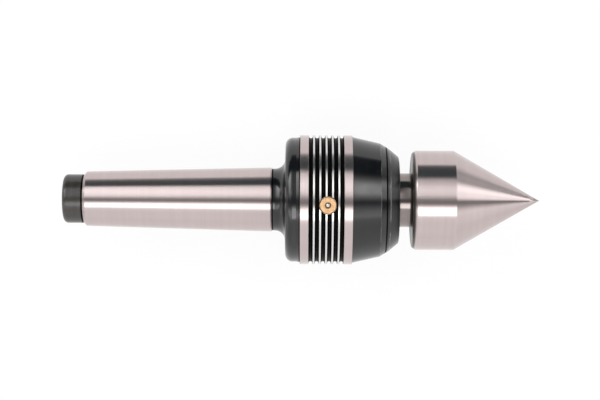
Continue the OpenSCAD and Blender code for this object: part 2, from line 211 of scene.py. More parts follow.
# Leaning by more than a few degrees: past the end of the soft box, on either side.
left_leaning_ring = [
    (-180, 1.0), (-60, 0.97), (-50, 1.0), (-40, 1.2), (-30, 1.9), (-22, 1.4), (-14, 0.6),
    (-8, 0.25), (0, 0.25), (8, 0.6), (15, 0.8), (32, 0.8), (43, 0.8), (50, 0.7),
    (52.5, 0.5), (55, black_card), (90, black_card), (93.5, 1.0)]
right_leaning_ring = [
    (-180, 1.0), (-60, 0.97), (-50, 1.0), (-40, 1.2), (-30, 1.9), (-22, 1.4), (-14, 0.6),
    (-8, 0.25), (0, 0.25), (8, 0.35), (15, 0.35), (25, 0.35), (32, 0.35), (43, 0.2), (50, 0.14),
    (53, 0.12), (56, black_card), (90, black_card), (93.5, 1.0)]

# Leaning by about a quarter of a right angle: a wide soft box above, on each side.
right_box = [
    (-180, 1.0), (-60, 0.97), (-46, 1.05), (-39, 1.2), (-33, 2.0), (-27, 1.6), (-21, 1.3),
    (-15, 0.9), (-9, 0.4), (-4, 0.3), (2, 1.2), (8, 2.7), (14, 4.6), (20, 5.0), (26, 5.0),
    (32, 4.0), (38, 2.1), (44, 0.9), (51, 0.2), (57, black_card), (90, black_card), (93.5, 1.0),
    (108, 1.15), (128, 1.1), (145, 1.0)]
left_box = [
    (-180, 1.0), (-60, 0.98), (-46, 1.1), (-41, 1.2), (-37, 1.9), (-32, 2.8), (-25, 2.4),
    (-18, 0.9), (-12, 0.5), (-7, 0.35), (-1, 0.35), (6, 1.1), (14, 2.5), (22, 3.1), (30, 3.5),
    (38, 4.0), (45, 4.6), (50, 4.8), (54, 2.8), (57, black_card), (90, black_card), (93.5, 1.0)]

# Leaning far: the room's right side, which the point's cone mirrors, and its left side.
right_far_ring = [
    (-180, 0.5), (-150, 0.6), (-120, 1.0), (-75, 1.25), (-56, 1.05), (-43, 0.7), (-34, 0.34),
    (-28, 0.12), (-20, 0.02), (-9, 0.02), (-5, 0.1), (0, 0.6), (6, 1.6), (15, 2.1), (25, 2.0),
    (33, 2.2), (43, 2.7), (50, 3.5), (56, 3.5), (61, 1.5), (67, 0.75), (74, 0.3), (80, 0.25),
    (86, 1.0), (91, 2.2), (100, 2.6), (112, 2.5), (128, 1.7), (142, 0.9), (152, 0.5)]
left_far_ring = [
    (-180, 1.0), (-120, 1.6), (-100, 1.6), (-80, 1.5), (-62, 1.3), (-46, 1.0), (-31, 0.4),
    (-17, 0.3), (25, 0.35), (40, 0.42), (55, 0.65), (71, 1.3), (90, 2.2), (112, 1.8), (150, 1.0)]

# Almost along the tool: the two end walls.
end_ring = [
    (-180, 1.0), (-100, 1.0), (-60, 1.0), (-38, 1.2), (-21, 0.6), (-8, 0.3), (1, 0.3),
    (8, 1.2), (18, 2.0), (28, 1.6), (43, 1.5), (52, 0.7), (61, 0.5), (70, 0.8), (90, 1.0)]
all_stops = (square_ring + left_leaning_ring + right_leaning_ring + right_box + left_box
             + right_far_ring + left_far_ring + end_ring)
levels = [level for _, level in all_stops]
print("stops in the room:", len(levels), "from", min(levels), "to", max(levels))

# %% [markdown]
# ## The room as a world
# A world shader knows only the direction of a ray. An inverse tangent and an inverse
# sine turn it into the two angles, each ring becomes a colour ramp, and the ramps are
# mixed one after the other by how far the ray leans, with soft borders, because a ground
# surface would blur hard ones anyway. The black card hangs a little askew, so its angles
# are shifted on the way. A direct ray to the camera sees plain white and not the room.

# %% World
ramp_scale = 6.0               # a ramp holds colours up to 1, so it stores brightness / 6
card_tint = (0.78, 1.04, 1.12)
card_level = 0.1               # what is darker than this is black card, which is a little blue
card_slant = 0.5               # degrees round the axis per degree of lean
slant_lean, slant_round = (9, 15), (25, 45)     # fades out over the first, in over the second
card_cut = 6                   # degrees by which the card ends sooner on the left
cut_lean, cut_round = (-1.5, -4.5), (60, 75)    # fades in over both

def room_ramp(n, round_angle, stops):
    """A ramp round the axis, with brightness in straight lines between the stops."""
    made = n.add("ShaderNodeValToRGB", {0: n.remap(round_angle, -180, 180, smooth=False)})
    elements = made.color_ramp.elements
    while len(elements) < len(stops):
        elements.new(0.5)
    for element, (angle, level) in zip(elements, stops):
        element.position = (angle + 180) / 360
        tint = card_tint if level < card_level else (1, 1, 1)
        element.color = tuple(level * t / ramp_scale for t in tint) + (1,)
    return made.outputs[0]

def room_angles(n):
    """The angle round the X axis from the camera's side and the lean along X, in degrees."""
    direction = n.add("ShaderNodeTexCoord").outputs["Generated"]
    xyz = n.add("ShaderNodeSeparateXYZ", {0: direction}).outputs
    round_angle = n.math("MULTIPLY", n.math("ARCTAN2", xyz["Y"], xyz["Z"]), 180 / math.pi)
    round_angle = n.math("SUBTRACT", round_angle, math.degrees(tip))
    return round_angle, n.math("MULTIPLY", n.math("ARCSINE", xyz["X"]), 180 / math.pi)

world = bpy.data.worlds.new("studio")
bpy.context.scene.world = world
world.use_nodes = True
n = Nodes(world.node_tree)
round_angle, lean = room_angles(n)
steepness = n.math("ABSOLUTE", lean)
near_square, above = n.remap(steepness, *slant_lean, 1.0, 0.0), n.remap(round_angle, *slant_round)
round_angle = n.math("ADD", round_angle, n.chain("MULTIPLY", lean, card_slant, near_square, above))
cut_corner = n.chain("MULTIPLY", n.remap(lean, *cut_lean), n.remap(round_angle, *cut_round), card_cut)
round_angle = n.math("ADD", round_angle, cut_corner)
# Each ring fades in between two leans in degrees, and a box fades out again between two
# more. A later ring covers the earlier ones.
rings = [
    (n.remap(lean, -5, -11), left_leaning_ring),
    (n.remap(lean, 3, 9), right_leaning_ring),
    (n.math("MULTIPLY", n.remap(lean, 17, 23), n.remap(lean, 30, 40, 1.0, 0.0)), right_box),
    (n.math("MULTIPLY", n.remap(lean, -12, -28), n.remap(lean, -52, -68, 1.0, 0.0)), left_box),
    (n.remap(lean, 44, 61), right_far_ring),
    (n.remap(lean, -52, -68), left_far_ring),
    (n.remap(steepness, 70, 78), end_ring)]
room = room_ramp(n, round_angle, square_ring)
for weight, ring in rings:
    room = n.mix(weight, room, room_ramp(n, round_angle, ring))
white = (1 / ramp_scale,) * 3 + (1,)
room = n.mix(n.add("ShaderNodeLightPath").outputs["Is Camera Ray"], room, white)
light = n.add("ShaderNodeBackground", {"Color": room, "Strength": ramp_scale})
n.add("ShaderNodeOutputWorld", {"Surface": light.outputs[0]})
print("rings in the room:", len(rings) + 1, "nodes:", len(world.node_tree.nodes))

# %% [markdown]
# ## The floor
# The tool lies on a sheet of white card. Card that only scattered the room's light
# would turn grey wherever the tool dims it, so most of its brightness is given to it
# outright for rays from the camera and for mirrored rays, and the rest is scattered
# light that keeps a soft shadow under the tool. Seen from below, the sheet is clear.

# %% Floor
card_gap = 0.3 * mm            # keeps the card clear of the tool's lowest point
floor_z = frame_low.z - card_gap
sheet_reach = 420 * mm         # from the middle to each edge
grain_scale = 1070.0           # waves a metre in the paper's tone
given_light = 0.91             # share of the card's brightness that doesn't depend on the room

corners = np.array([[-1, -1], [1, -1], [1, 1], [-1, 1]]) * sheet_reach
corners = np.column_stack([corners, np.full(4, floor_z)])
card_mesh = bpy.data.meshes.new("white_card")
card_mesh.from_pydata(corners.tolist(), [], [(0, 1, 2, 3)])
card = bpy.data.objects.new("white_card", card_mesh)
bpy.context.scene.collection.objects.link(card)

def white_card():
    made, n = start_finish("white_card")
    path = n.add("ShaderNodeLightPath").outputs
    seen = n.chain("MAXIMUM", path["Is Glossy Ray"], path["Is Transmission Ray"], path["Is Camera Ray"])
    grain = n.add("ShaderNodeTexNoise", {"Vector": own_place(n), "Scale": grain_scale, "Detail": 2.0})
    tone = n.mix(grain.outputs[0], (0.93, 0.93, 0.93, 1), (0.97, 0.97, 0.97, 1))
    paper = n.add("ShaderNodeBsdfDiffuse", {"Color": tone}).outputs[0]
    glow = n.add("ShaderNodeEmission", {"Color": (1, 1, 1, 1), "Strength": 1.0}).outputs[0]
    lit = n.shaders(n.math("MULTIPLY", seen, given_light), paper, glow)
    below = n.add("ShaderNodeNewGeometry").outputs["Backfacing"]
    clear = n.add("ShaderNodeBsdfTransparent").outputs[0]
    return end_finish(made, n, n.shaders(below, lit, clear))

card_mesh.materials.append(white_card())
print("card half a side:", round(sheet_reach / mm), "mm, under the tool by", round(card_gap / mm, 2), "mm")

# %% [markdown]
# ## Wound wire
# Two springs hide in the tool: a long ring of fine coils that holds the seal's lip on
# its track, and a short one under the oiler's ball. On the frame the first is a plain
# ring and the second stands stiff while its ball sinks, so both are wound anew here.
# A curve object with a bevel would give the same wire, but a tube computed from its
# path says exactly where each corner goes, and it carries its own map: how far along
# the wire and how far round it a point lies, which the drawn finish needs later.

# %% A tube round a path
def wound_wire(name, path, outward, wire_radius, sides, closed):
    """A round wire. Round each point of the path stands a circle, square to the path:
    corner j is path + radius * (cos(b) * outward + sin(b) * across), with b = j turns
    out of sides, and across square to both the path and outward."""
    if closed:
        tangent = np.roll(path, -1, 0) - np.roll(path, 1, 0)
    else:
        tangent = np.gradient(path, axis=0)
    tangent = tangent / np.linalg.norm(tangent, axis=1, keepdims=True)
    outward = outward - tangent * np.sum(outward * tangent, axis=1, keepdims=True)
    outward = outward / np.linalg.norm(outward, axis=1, keepdims=True)
    across = np.cross(tangent, outward)
    b = np.arange(sides)[None, :, None] * 2 * math.pi / sides
    circles = path[:, None] + wire_radius * (np.cos(b) * outward[:, None] + np.sin(b) * across[:, None])

    count = len(path)
    i, j = np.meshgrid(np.arange(count if closed else count - 1), np.arange(sides), indexing="ij")
    step = np.array([[0, 0], [0, 1], [1, 1], [1, 0]])
    along, turn_round = i[..., None] + step[:, 0], j[..., None] + step[:, 1]
    walls = ((along % count) * sides + turn_round % sides).reshape(-1, 4).tolist()
    caps = [] if closed else [list(range(sides))[::-1], list(range((count - 1) * sides, count * sides))]
    mesh = bpy.data.meshes.new(name)
    mesh.from_pydata(circles.reshape(-1, 3).tolist(), [], walls + caps)

    piece = np.linalg.norm(np.diff(path, axis=0), axis=1).mean()
    spots = np.stack([along * piece / mm, turn_round / sides], axis=-1).reshape(-1, 2)
    uv = np.zeros((len(mesh.loops), 2))
    uv[:len(spots)] = spots
    mesh.uv_layers.new(name="along_wire").data.foreach_set("uv", uv.ravel())
    mesh.polygons.foreach_set("use_smooth", np.ones(len(mesh.polygons), dtype=bool))
    mesh.update()
    wire = bpy.data.objects.new(name, mesh)
    bpy.context.scene.collection.objects.link(wire)
    print(name, "faces:", len(mesh.polygons), "wire length in mm:", round(piece * count / mm))
    return wire

# %% [markdown]
# ## The seal's garter spring
# A garter spring is wound close, so that neighbouring turns nearly touch, and its ends
# are screwed into each other to make a ring. Its centre line is a circle round the X
# axis, and the wire runs round that circle hundreds of times on the way. Its turns are
# whole in number, so the wire meets its own start.

# %% Garter spring
def garter_coil(turns=320, per_turn=10, wire_radius=0.15 * mm):
    """Ring angle t runs once round and coil angle turns * t many times; the wire lies at
    ring + coil radius * (cos(coil angle) * away from the axis + sin(coil angle) * X)."""
    low, high = (np.array(corner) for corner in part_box("garter_spring"))
    middle, thickness = (low + high) / 2, (high[0] - low[0]) / 2
    ring_radius = (high[2] - low[2]) / 2 - thickness
    t = np.arange(turns * per_turn) * 2 * math.pi / (turns * per_turn)
    away = np.column_stack([np.zeros_like(t), np.cos(t), np.sin(t)])
    coil = turns * t
    outward = np.cos(coil)[:, None] * away + np.sin(coil)[:, None] * np.array([1.0, 0, 0])
    path = middle + ring_radius * away + (thickness - wire_radius) * outward
    return wound_wire("seal_garter_coil", path, outward, wire_radius, 5, closed=True)

seal_garter_coil = garter_coil()
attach(seal_garter_coil, "housing")
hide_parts("garter_spring")

# %% [markdown]
# ## The oiler's spring
# The spring under the ball is a plain compression spring with its last turn at each
# end laid flat against the one before, so that it stands straight. The climb per turn
# is small at the ends and large between, and summing the climb gives the height.

# %% Oiler spring
coil_low, coil_high = (np.array(corner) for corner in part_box("oiler_spring"))

def oiler_coil(low, high, turns=6, per_turn=28, wire_radius=0.16 * mm):
    """Height is the running sum of the climb, which eases from one wire's thickness a
    turn at both ends to whatever fills the height between; the wire circles meanwhile."""
    coil_radius = (high[0] - low[0]) / 2 - wire_radius
    foot, top = low[2] + wire_radius, high[2] - wire_radius
    t = np.linspace(0, turns, turns * per_turn + 1)
    # Laid flat for 0.8 of a turn at each end, and fully open half a turn later
    opened = np.clip((np.minimum(t, turns - t) - 0.8) / 0.5, 0, 1)
    laid = 2.04 * wire_radius
    climb = laid + opened * (top - foot - laid * turns) / (opened[1:].sum() / per_turn)
    height = foot + np.concatenate([[0], np.cumsum((climb[1:] + climb[:-1]) / 2)]) / per_turn
    outward = np.column_stack([np.cos(2 * math.pi * t), np.sin(2 * math.pi * t), np.zeros_like(t)])
    axis = np.column_stack([np.full_like(t, (low[0] + high[0]) / 2), np.zeros_like(t), height])
    return wound_wire("oiler_coil", axis + coil_radius * outward, outward, wire_radius, 10, closed=False)

oiler_coil_piece = oiler_coil(coil_low, coil_high)
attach(oiler_coil_piece, "housing")
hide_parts("oiler_spring")
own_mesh(oiler_coil_piece)

# %% [markdown]
# ## Reading a place on the tool
# The whole tool is turned about the X axis, so two numbers say where a point of its
# surface is: the station along the centre line and the radius. The packed pieces all
# stand at the origin, so the Object coordinates give both, in metres. A mask is then
# a product of steps in those two numbers. Vertex colours could hold such masks too,
# but their edges would be as ragged as the mesh is coarse.

# %% Station and radius
def hypot(n, a, b):
    """The root of a squared plus b squared."""
    return n.math("SQRT", n.math("ADD", n.math("MULTIPLY", a, a), n.math("MULTIPLY", b, b)))

def station_and_radius(n, where):
    """How far along the centre line a point lies, and how far from it, in millimetres."""
    x, y, z = n.add("ShaderNodeSeparateXYZ", {0: where}).outputs
    return n.math("MULTIPLY", x, 1 / mm), n.math("MULTIPLY", hypot(n, y, z), 1 / mm)

print("stations of the rear face and the point in mm:", round(frame_low.x / mm, 1),
      round(frame_high.x / mm, 1))

# %% Masks
clean_edge = 0.06              # how wide the step at a clean corner is, in millimetres

def past(n, value, edge, soft=clean_edge):
    """0 before the edge and 1 past it."""
    return n.remap(value, edge - soft / 2, edge + soft / 2)

def under(n, value, edge, soft=clean_edge):
    """1 before the edge and 0 past it."""
    return n.math("SUBTRACT", 1.0, past(n, value, edge, soft))

def between(n, value, low, high, soft=clean_edge):
    """1 from low to high and 0 outside."""
    return n.math("MULTIPLY", past(n, value, low, soft), under(n, value, high, soft))

def line(n, value, middle, width, soft):
    """1 on a thin line round the tool, falling off smoothly to both sides."""
    away = n.math("ABSOLUTE", n.math("SUBTRACT", value, middle))
    return n.remap(away, width / 2, width / 2 + soft, 1.0, 0.0)

def any_of(n, *masks):
    """1 where one of the masks is 1: the largest of them."""
    return n.chain("MAXIMUM", *masks)

def all_of(n, *masks):
    """1 only where all of the masks are 1: their product."""
    return n.chain("MULTIPLY", *masks)

print("masks change over", clean_edge, "mm at a clean corner")

# %% [markdown]
# ## The marks that turning and grinding leave
# A lathe tool or a grinding wheel leaves lines that run round the work. They are noise
# that changes quickly along the tool and hardly at all round it, so the noise gets its
# coordinates squeezed: thousands of waves a metre along X, a few across. Real lines
# are finer than the eye can part, so the bump is faint, and what matters more is how
# the finish smears a reflection along the tool. That is anisotropic roughness, with
# its tangent running round the X axis.

# %% Noise, tone and gloss
relief_depth = 0.1 * mm        # the height that a noise of 1 stands for

def squeezed_noise(n, where, along, across, detail=3.0):
    """Lines round the X axis: so many waves a metre along the tool and across it."""
    stretched = n.add("ShaderNodeMapping", {"Vector": where, "Scale": (along, across, across)})
    return n.add("ShaderNodeTexNoise", {
        "Vector": stretched.outputs[0], "Scale": 1.0, "Detail": detail, "Roughness": 0.6}).outputs[0]

def cloudy_noise(n, where, scale, detail=3.0):
    """Clouds, so many a metre, the same in all directions."""
    return n.add("ShaderNodeTexNoise", {
        "Vector": where, "Scale": scale, "Detail": detail, "Roughness": 0.55}).outputs[0]

def weighed(n, *parts):
    """The sum of each value times its weight."""
    return n.chain("ADD", *(n.math("MULTIPLY", value, weight) for value, weight in parts))

def toned(n, shade, low, high, dark, pale, smooth=True):
    """Dark where the shade is under low, pale where it is over high."""
    return n.mix(n.remap(shade, low, high, smooth=smooth), dark + (1,), pale + (1,))

def tinted(colour, factor):
    """The colour times the factor, and never over 1."""
    return tuple(min(1.0, c * factor) for c in colour)

def bump(n, height, strength, depth=relief_depth):
    """A shader's input for relief: how high the noise stands, and how strongly it shows."""
    relief = n.add("ShaderNodeBump", {"Strength": strength, "Distance": depth, "Height": height})
    return {"Normal": relief.outputs[0]}

def smear(n, amount):
    """A shader's inputs for lines round the X axis, which smear reflections along it."""
    tangent = n.add("ShaderNodeTangent", direction_type="RADIAL", axis="X").outputs[0]
    return {"Anisotropic": amount, "Anisotropic Rotation": 0.25, "Tangent": tangent}

def skin(n, tone, roughness, metallic=1.0, more=None):
    """Blender's all-round shader: colour, roughness, metal or not, and more inputs."""
    inputs = {"Base Color": tone, "Roughness": roughness, "Metallic": metallic} | (more or {})
    return n.add("ShaderNodeBsdfPrincipled", inputs).outputs[0]

print("relief is", round(relief_depth / mm, 2), "mm deep at full strength")

# %% Ground steel
fine_lines, broad_lines = 2600, 300      # waves a metre along the tool
tone_variety = 0.05                      # how much darker and paler than its colour it gets

def ground_metal(n, where, colour, roughness=0.285):
    """Metal with lines round the X axis: colour, smeared gloss and a faint bump."""
    fine = squeezed_noise(n, where, fine_lines, 9)
    broad = squeezed_noise(n, where, broad_lines, 5, 2.0)
    shade = weighed(n, (fine, 0.4), (broad, 0.35), (cloudy_noise(n, where, 60), 0.25))
    dark, pale = tinted(colour, 1 - tone_variety), tinted(colour, 1 + tone_variety)
    tone = toned(n, shade, 0.35, 0.65, dark, pale, smooth=False)
    return skin(n, tone, roughness, more=bump(n, fine, 0.04) | smear(n, 1.0))

print("a fine line every", round(1000 / fine_lines, 2), "mm, a broad one every",
      round(1000 / broad_lines, 1), "mm")

# %% [markdown]
# ## Black oxide
# The blackened steel has been boiled in hot salts: the skin is a micron of magnetite,
# nearly black, with the turned marks still under it and a film of oil on top. It isn't
# a metal to look at any more, so the shader is a dark one with an ordinary clear gloss,
# smooth enough to mirror the soft boxes as grey bands. Some corners are painted a
# lighter steel grey: on the housing and the cap that is a painted highlight where an
# edge catches the light, and on the ring nut it is wear from the hook spanner.

# %% Blackened steel
black_low, black_high = (0.002, 0.0022, 0.003), (0.006, 0.0065, 0.008)
# Lighter steel grey for corners: painted highlight on the housing and the cap, wear on the ring nut
wear_and_highlight_grey = (0.14, 0.135, 0.13, 1)

def blackened(n, where, edge_wear_and_highlight, roughness=0.16, gloss_index=1.6):
    """Near black gloss over turned marks; edge_wear_and_highlight is a mask of corners painted lighter
    grey: painted highlight on the housing and the cap, wear on the ring nut.
    """
    fine = squeezed_noise(n, where, 2100, 7)
    cloud = cloudy_noise(n, where, 110, 4.0)
    shade = weighed(n, (fine, 0.6), (cloud, 0.4))
    tone = toned(n, shade, 0.32, 0.68, black_low, black_high, smooth=False)
    patchy_wear_and_highlight = n.math("MULTIPLY", edge_wear_and_highlight, n.remap(squeezed_noise(n, where, 500, 130), 0.35, 0.6))
    tone = n.mix(patchy_wear_and_highlight, tone, wear_and_highlight_grey)
    gloss = n.remap(cloud, 0.3, 0.7, roughness * 0.85, roughness * 1.2)
    return skin(n, tone, gloss, 0.0, bump(n, fine, 0.03) | smear(n, 0.9) | {"IOR": gloss_index})

print("black oxide scatters", round(100 * black_low[1], 2), "to", round(100 * black_high[1], 2),
      "percent of the light")

# %% [markdown]
# ## Shadowed grooves
# The black in the grooves between the ribs, in the undercut, in the turned lines and in
# the cap's joint is the same skin left rough by a form tool, and its near black is
# painted shade: a second dark shader with a weak, wide gloss stands for the shade that
# falls in these recesses. Letting the walls shade each other is right in principle, but
# it can't make them this dark while their bottoms still mirror the room.

# %% Groove black
painted_shade_dark, painted_shade_pale = (0.0008, 0.0008, 0.0008), (0.003, 0.0028, 0.0026)
groove_gloss = 0.05            # 0.5 would be the full gloss of an ordinary surface

def painted_shade_black(n, where):
    # Painted shade: a near black that goes patchy between a darker and a paler tone
    shade_patches = squeezed_noise(n, where, 1500, 90)
    tone = toned(n, shade_patches, 0.35, 0.75, painted_shade_dark, painted_shade_pale)
    return skin(n, tone, 0.45, 0.0, {"IOR": 1.5, "Specular IOR Level": groove_gloss})

print("gloss in the grooves:", round(100 * groove_gloss / 0.5), "percent of an ordinary surface's")

# %% [markdown]
# ## Unground scale
# Where neither oxide bath nor wheel has been, the steel keeps the brown black scale of
# its hardening, on the stub behind the taper. The same shader in a darker brown is
# painted on the back of the spindle's head with the fillet at its root. Scale is a thin
# glassy crust, so it is a dark brown with a blurred gloss, and the turned marks under it
# are coarse enough to streak the light.

# %% Hardening scale
scale_marks = 1100             # waves a metre along the tool

def scale_crust(n, where, dark, pale, roughness=0.3):
    marks = squeezed_noise(n, where, scale_marks, 30)
    shade = weighed(n, (marks, 0.5), (cloudy_noise(n, where, 420, 4.0), 0.5))
    tone = toned(n, shade, 0.33, 0.67, dark, pale, smooth=False)
    return skin(n, tone, roughness, 0.0, bump(n, shade, 0.12) | smear(n, 0.8) | {"IOR": 1.6})

print("a mark in the scale every", round(1000 / scale_marks, 1), "mm")

# %% [markdown]
# ## The housing
# The housing is one bar of steel, turned all over, blackened all over, and then ground
# bright only where it has to run true or be gripped: the taper, the two bands and the
# tops of the ribs. The grinding cuts through the black, so both finishes meet in a
# clean line at the same corner. One material holds them all and chooses by station and
# radius, and the steps stand at the stations to which the housing was turned.
# Light is painted in by station too: the grooves between the ribs, the undercut and three thin lines are
# painted near black as painted shade, the rib crowns are painted paler than the bands as a painted
# highlight, and a painted highlight line runs round the nose corner.

# %% Housing finish
steel_colour = (0.585, 0.5, 0.492)
# The rib crowns are painted paler than the bands' steel, as a painted highlight on the narrow tops
crown_highlight_colour = (0.8, 0.77, 0.76)
# Stations and radii on the housing, in millimetres. A pair is where something starts and ends.
stub_front = -86.72                     # behind this the steel keeps its scale
taper = (-85.78, 6.47)
rear_band, front_band = (20.5, 24.6), (41.8, 45.83)
first_rib, rib_pitch = 27.145, 3.03     # the middle of the first, and the way to the next
crown_width, crown_edge = 0.86, 0.1     # the bright top of a rib, and its soft border
land_radius = 31.62                     # over this the wheel has touched the bands and ribs
nose_corner, nose_highlight_strength = 59.6, 0.5      # the corner with a painted highlight line, and how strongly it is painted
# The bearings' seats: from, to, and the radius they lie under
seats = [(-2.2, 14.2, 11.2), (14.2, 53.2, 24.3)]
# Painted shade in the undercut behind the taper: from, to, and the radii it lies between
undercut, undercut_radii = (6.47, 7.25), (14, 15.5)
# Painted shade lines at the band's shoulder, the cap's joint and the stub's step: from, to, and the radius
# they lie over
painted_shade_lines = [(19.95, 20.5, 28), (62.1, 62.8, 24.5), (-86.75, -85.78, 10)]

def housing_finish():
    made, n = start_finish("housing_black_and_ground")
    where = own_place(n)
    x, r = station_and_radius(n, where)
    touched = past(n, r, land_radius)
    bands = all_of(n, touched, any_of(n, between(n, x, *rear_band), between(n, x, *front_band)))
    phase = n.math("FLOORED_MODULO", n.math("ADD", x, rib_pitch / 2 - first_rib), rib_pitch)
    crowns = all_of(n, touched, line(n, phase, rib_pitch / 2, crown_width - crown_edge, crown_edge),
                    between(n, x, rear_band[1] + 1, front_band[0] - 1))
    bores = any_of(n, *(all_of(n, between(n, x, start, end), under(n, r, radius))
                        for start, end, radius in seats))
    cut = all_of(n, between(n, x, *undercut), between(n, r, *undercut_radii))
    lines = (all_of(n, between(n, x, start, end), past(n, r, radius))
             for start, end, radius in painted_shade_lines)
    # Painted shade: the rib grooves, the undercut and the thin lines take the near black
    painted_shade_mask = any_of(n, between(n, x, rear_band[1], front_band[0]), cut, *lines)
    # Painted highlight: a thin lighter line round the nose corner
    edge_wear_and_highlight = all_of(n, line(n, x, nose_corner, 0.12, 0.3), nose_highlight_strength)
    black = n.shaders(painted_shade_mask, blackened(n, where, edge_wear_and_highlight), painted_shade_black(n, where))
    # Painted highlight: the crowns take the paler steel
    steel = n.shaders(crowns, ground_metal(n, where, steel_colour),
                      ground_metal(n, where, crown_highlight_colour, roughness=0.3))
    turned = n.shaders(any_of(n, between(n, x, *taper), bands, crowns, bores), black, steel)
    stub = scale_crust(n, where, (0.022, 0.019, 0.016), (0.042, 0.036, 0.032))
    return end_finish(made, n, n.shaders(under(n, x, stub_front), turned, stub))

housing_skin = housing_finish()

# %% [markdown]
# ## The nose cap
# The cap is a screwed ring, blackened with the housing. Its joint has a thin line of
# painted shade, and its two corners have painted highlight lines. It takes the same
# black as the housing, a little duller, with its own painted highlight lines.

# %% Nose cap finish
cap_corner, cap_lip = 64.2, 68.65       # stations of the two corners with painted highlight lines
cap_joint, joint_radius = (62.3, 62.88), 24.2         # from, to, and the radius it lies over

def nose_cap_finish():
    made, n = start_finish("nose_cap_black")
    where = own_place(n)
    x, r = station_and_radius(n, where)
    # Painted highlight: thin lighter lines round the two corners
    edge_wear_and_highlight = any_of(n, line(n, x, cap_corner, 0.3, 0.3), line(n, x, cap_lip, 0.05, 0.15))
    # Painted shade: a near black line in the joint
    joint_shade = all_of(n, between(n, x, *cap_joint), past(n, r, joint_radius))
    body = blackened(n, where, edge_wear_and_highlight, roughness=0.22, gloss_index=1.57)
    return end_finish(made, n, n.shaders(joint_shade, body, painted_shade_black(n, where)))

nose_cap_skin = nose_cap_finish()

# %% [markdown]
# ## The spindle
# The running point is hardened tool steel, ground on its head, its cone and its seats.
# The seal's track behind the head is painted a darker steel with a little less roughness,
# as painted shade between the head and the cap, and the back of the head with the
# fillet at its root is painted a very dark brown.

# %% Spindle finish
track, track_radius = (53.2, 75), 13.6                 # from, to, and the radius it lies under
head_back_start, head_back_end, head_back_radius = 74.15, 76.5, 13.0      # and over, for the head's back

def spindle_finish():
    made, n = start_finish("spindle_ground_steel")
    where = own_place(n)
    x, r = station_and_radius(n, where)
    head = ground_metal(n, where, tinted(steel_colour, 0.97), roughness=0.24)
    # Painted shade: the track between the head and the cap takes a darker steel
    painted_shade_track = ground_metal(n, where, (0.33, 0.285, 0.275), roughness=0.22)
    dark_brown_back = scale_crust(n, where, (0.014, 0.010, 0.007), (0.022, 0.016, 0.012), roughness=0.35)
    on_track = all_of(n, under(n, r, track_radius), between(n, x, *track))
    back = all_of(n, past(n, x, head_back_start), under(n, x, head_back_end, 0.9), past(n, r, head_back_radius))
    return end_finish(made, n, n.shaders(back, n.shaders(on_track, head, painted_shade_track), dark_brown_back))

spindle_skin = spindle_finish()

# %% [markdown]
# ## Brass cages
# The cages of the two ball bearings are machined from brass, which is kind to the balls
# when oil runs short. Turned brass has the same lines as turned steel, and over them a
# slight brown tarnish that lies in clouds, so the tone mixes both kinds of noise.

# %% Turned brass
def turned_brass(name, dark, pale, roughness=0.3):
    made, n = start_finish(name)
    where = own_place(n)
    tarnish = cloudy_noise(n, where, 520, 4.0)
    lines = squeezed_noise(n, where, 2300, 8)
    tone = toned(n, weighed(n, (tarnish, 0.7), (lines, 0.3)), 0.35, 0.65, dark, pale)
    gloss = n.remap(tarnish, 0.3, 0.7, roughness * 0.8, roughness * 1.3)
    return end_finish(made, n, skin(n, tone, gloss, more=bump(n, lines, 0.1)))

cage_brass = turned_brass("cages_machined_brass", (0.42, 0.27, 0.11), (0.58, 0.40, 0.18))

# %% [markdown]
# ## The oiler's cup
# The oiler is a small brass cup that is pressed into the housing. It was turned about
# its own upright axis, so its lines are rings round that axis, and the radius there
# chooses between painted shade in the dish, the plain face and a painted highlight on
# the rim.

# %% The oiler's cup
oiler_station = 33.9                    # where its axis stands, in millimetres
dish_radius, rim_radius = 1.5, 3.95     # millimetres from that axis

def oiler_finish():
    """Turned brass about its own upright axis: painted shade in the dish, a painted highlight on the rim.
    """
    made, n = start_finish("oiler_turned_brass")
    where = own_place(n)
    along, side, _ = n.add("ShaderNodeSeparateXYZ", {0: where}).outputs
    dx = n.math("SUBTRACT", n.math("MULTIPLY", along, 1 / mm), oiler_station)
    away = hypot(n, dx, n.math("MULTIPLY", side, 1 / mm))
    from_axis = n.add("ShaderNodeCombineXYZ", {0: away}).outputs[0]
    rings = n.add("ShaderNodeTexNoise", {"Vector": from_axis, "Scale": 5.0, "Detail": 3.0}).outputs[0]
    shade = weighed(n, (cloudy_noise(n, where, 900, 4.0), 0.6), (rings, 0.4))
    tone = toned(n, shade, 0.38, 0.62, (0.6, 0.37, 0.19), (0.82, 0.53, 0.31))
    # Painted highlight: the rim is paler
    tone = n.mix(past(n, away, rim_radius, 0.3), tone, (0.84, 0.6, 0.4, 1))
    # Painted shade: the dish is darker
    tone = n.mix(under(n, away, dish_radius, 0.15), tone, (0.26, 0.16, 0.08, 1))
    gloss = n.remap(shade, 0.35, 0.65, 0.38, 0.52)
    return end_finish(made, n, skin(n, tone, gloss, more=bump(n, rings, 0.1)))

oiler_brass = oiler_finish()

# %% [markdown]
# ## Balls and needles
# Balls and needles are lapped between plates until they are mirrors. A mirror is easy
# to make and looks false, so a breath of oil in soft clouds varies its gloss and tone.

# %% Lapped steel
def lapped_steel(name, colour, roughness):
    made, n = start_finish(name)
    where = own_place(n)
    oil = cloudy_noise(n, where, 340, 5.0)
    tone = toned(n, oil, 0.35, 0.7, tinted(colour, 0.94), tinted(colour, 1.03))
    gloss = n.remap(oil, 0.3, 0.75, roughness * 0.7, roughness * 1.8)
    return end_finish(made, n, skin(n, tone, gloss, more=bump(n, oil, 0.01, 0.05 * mm)))

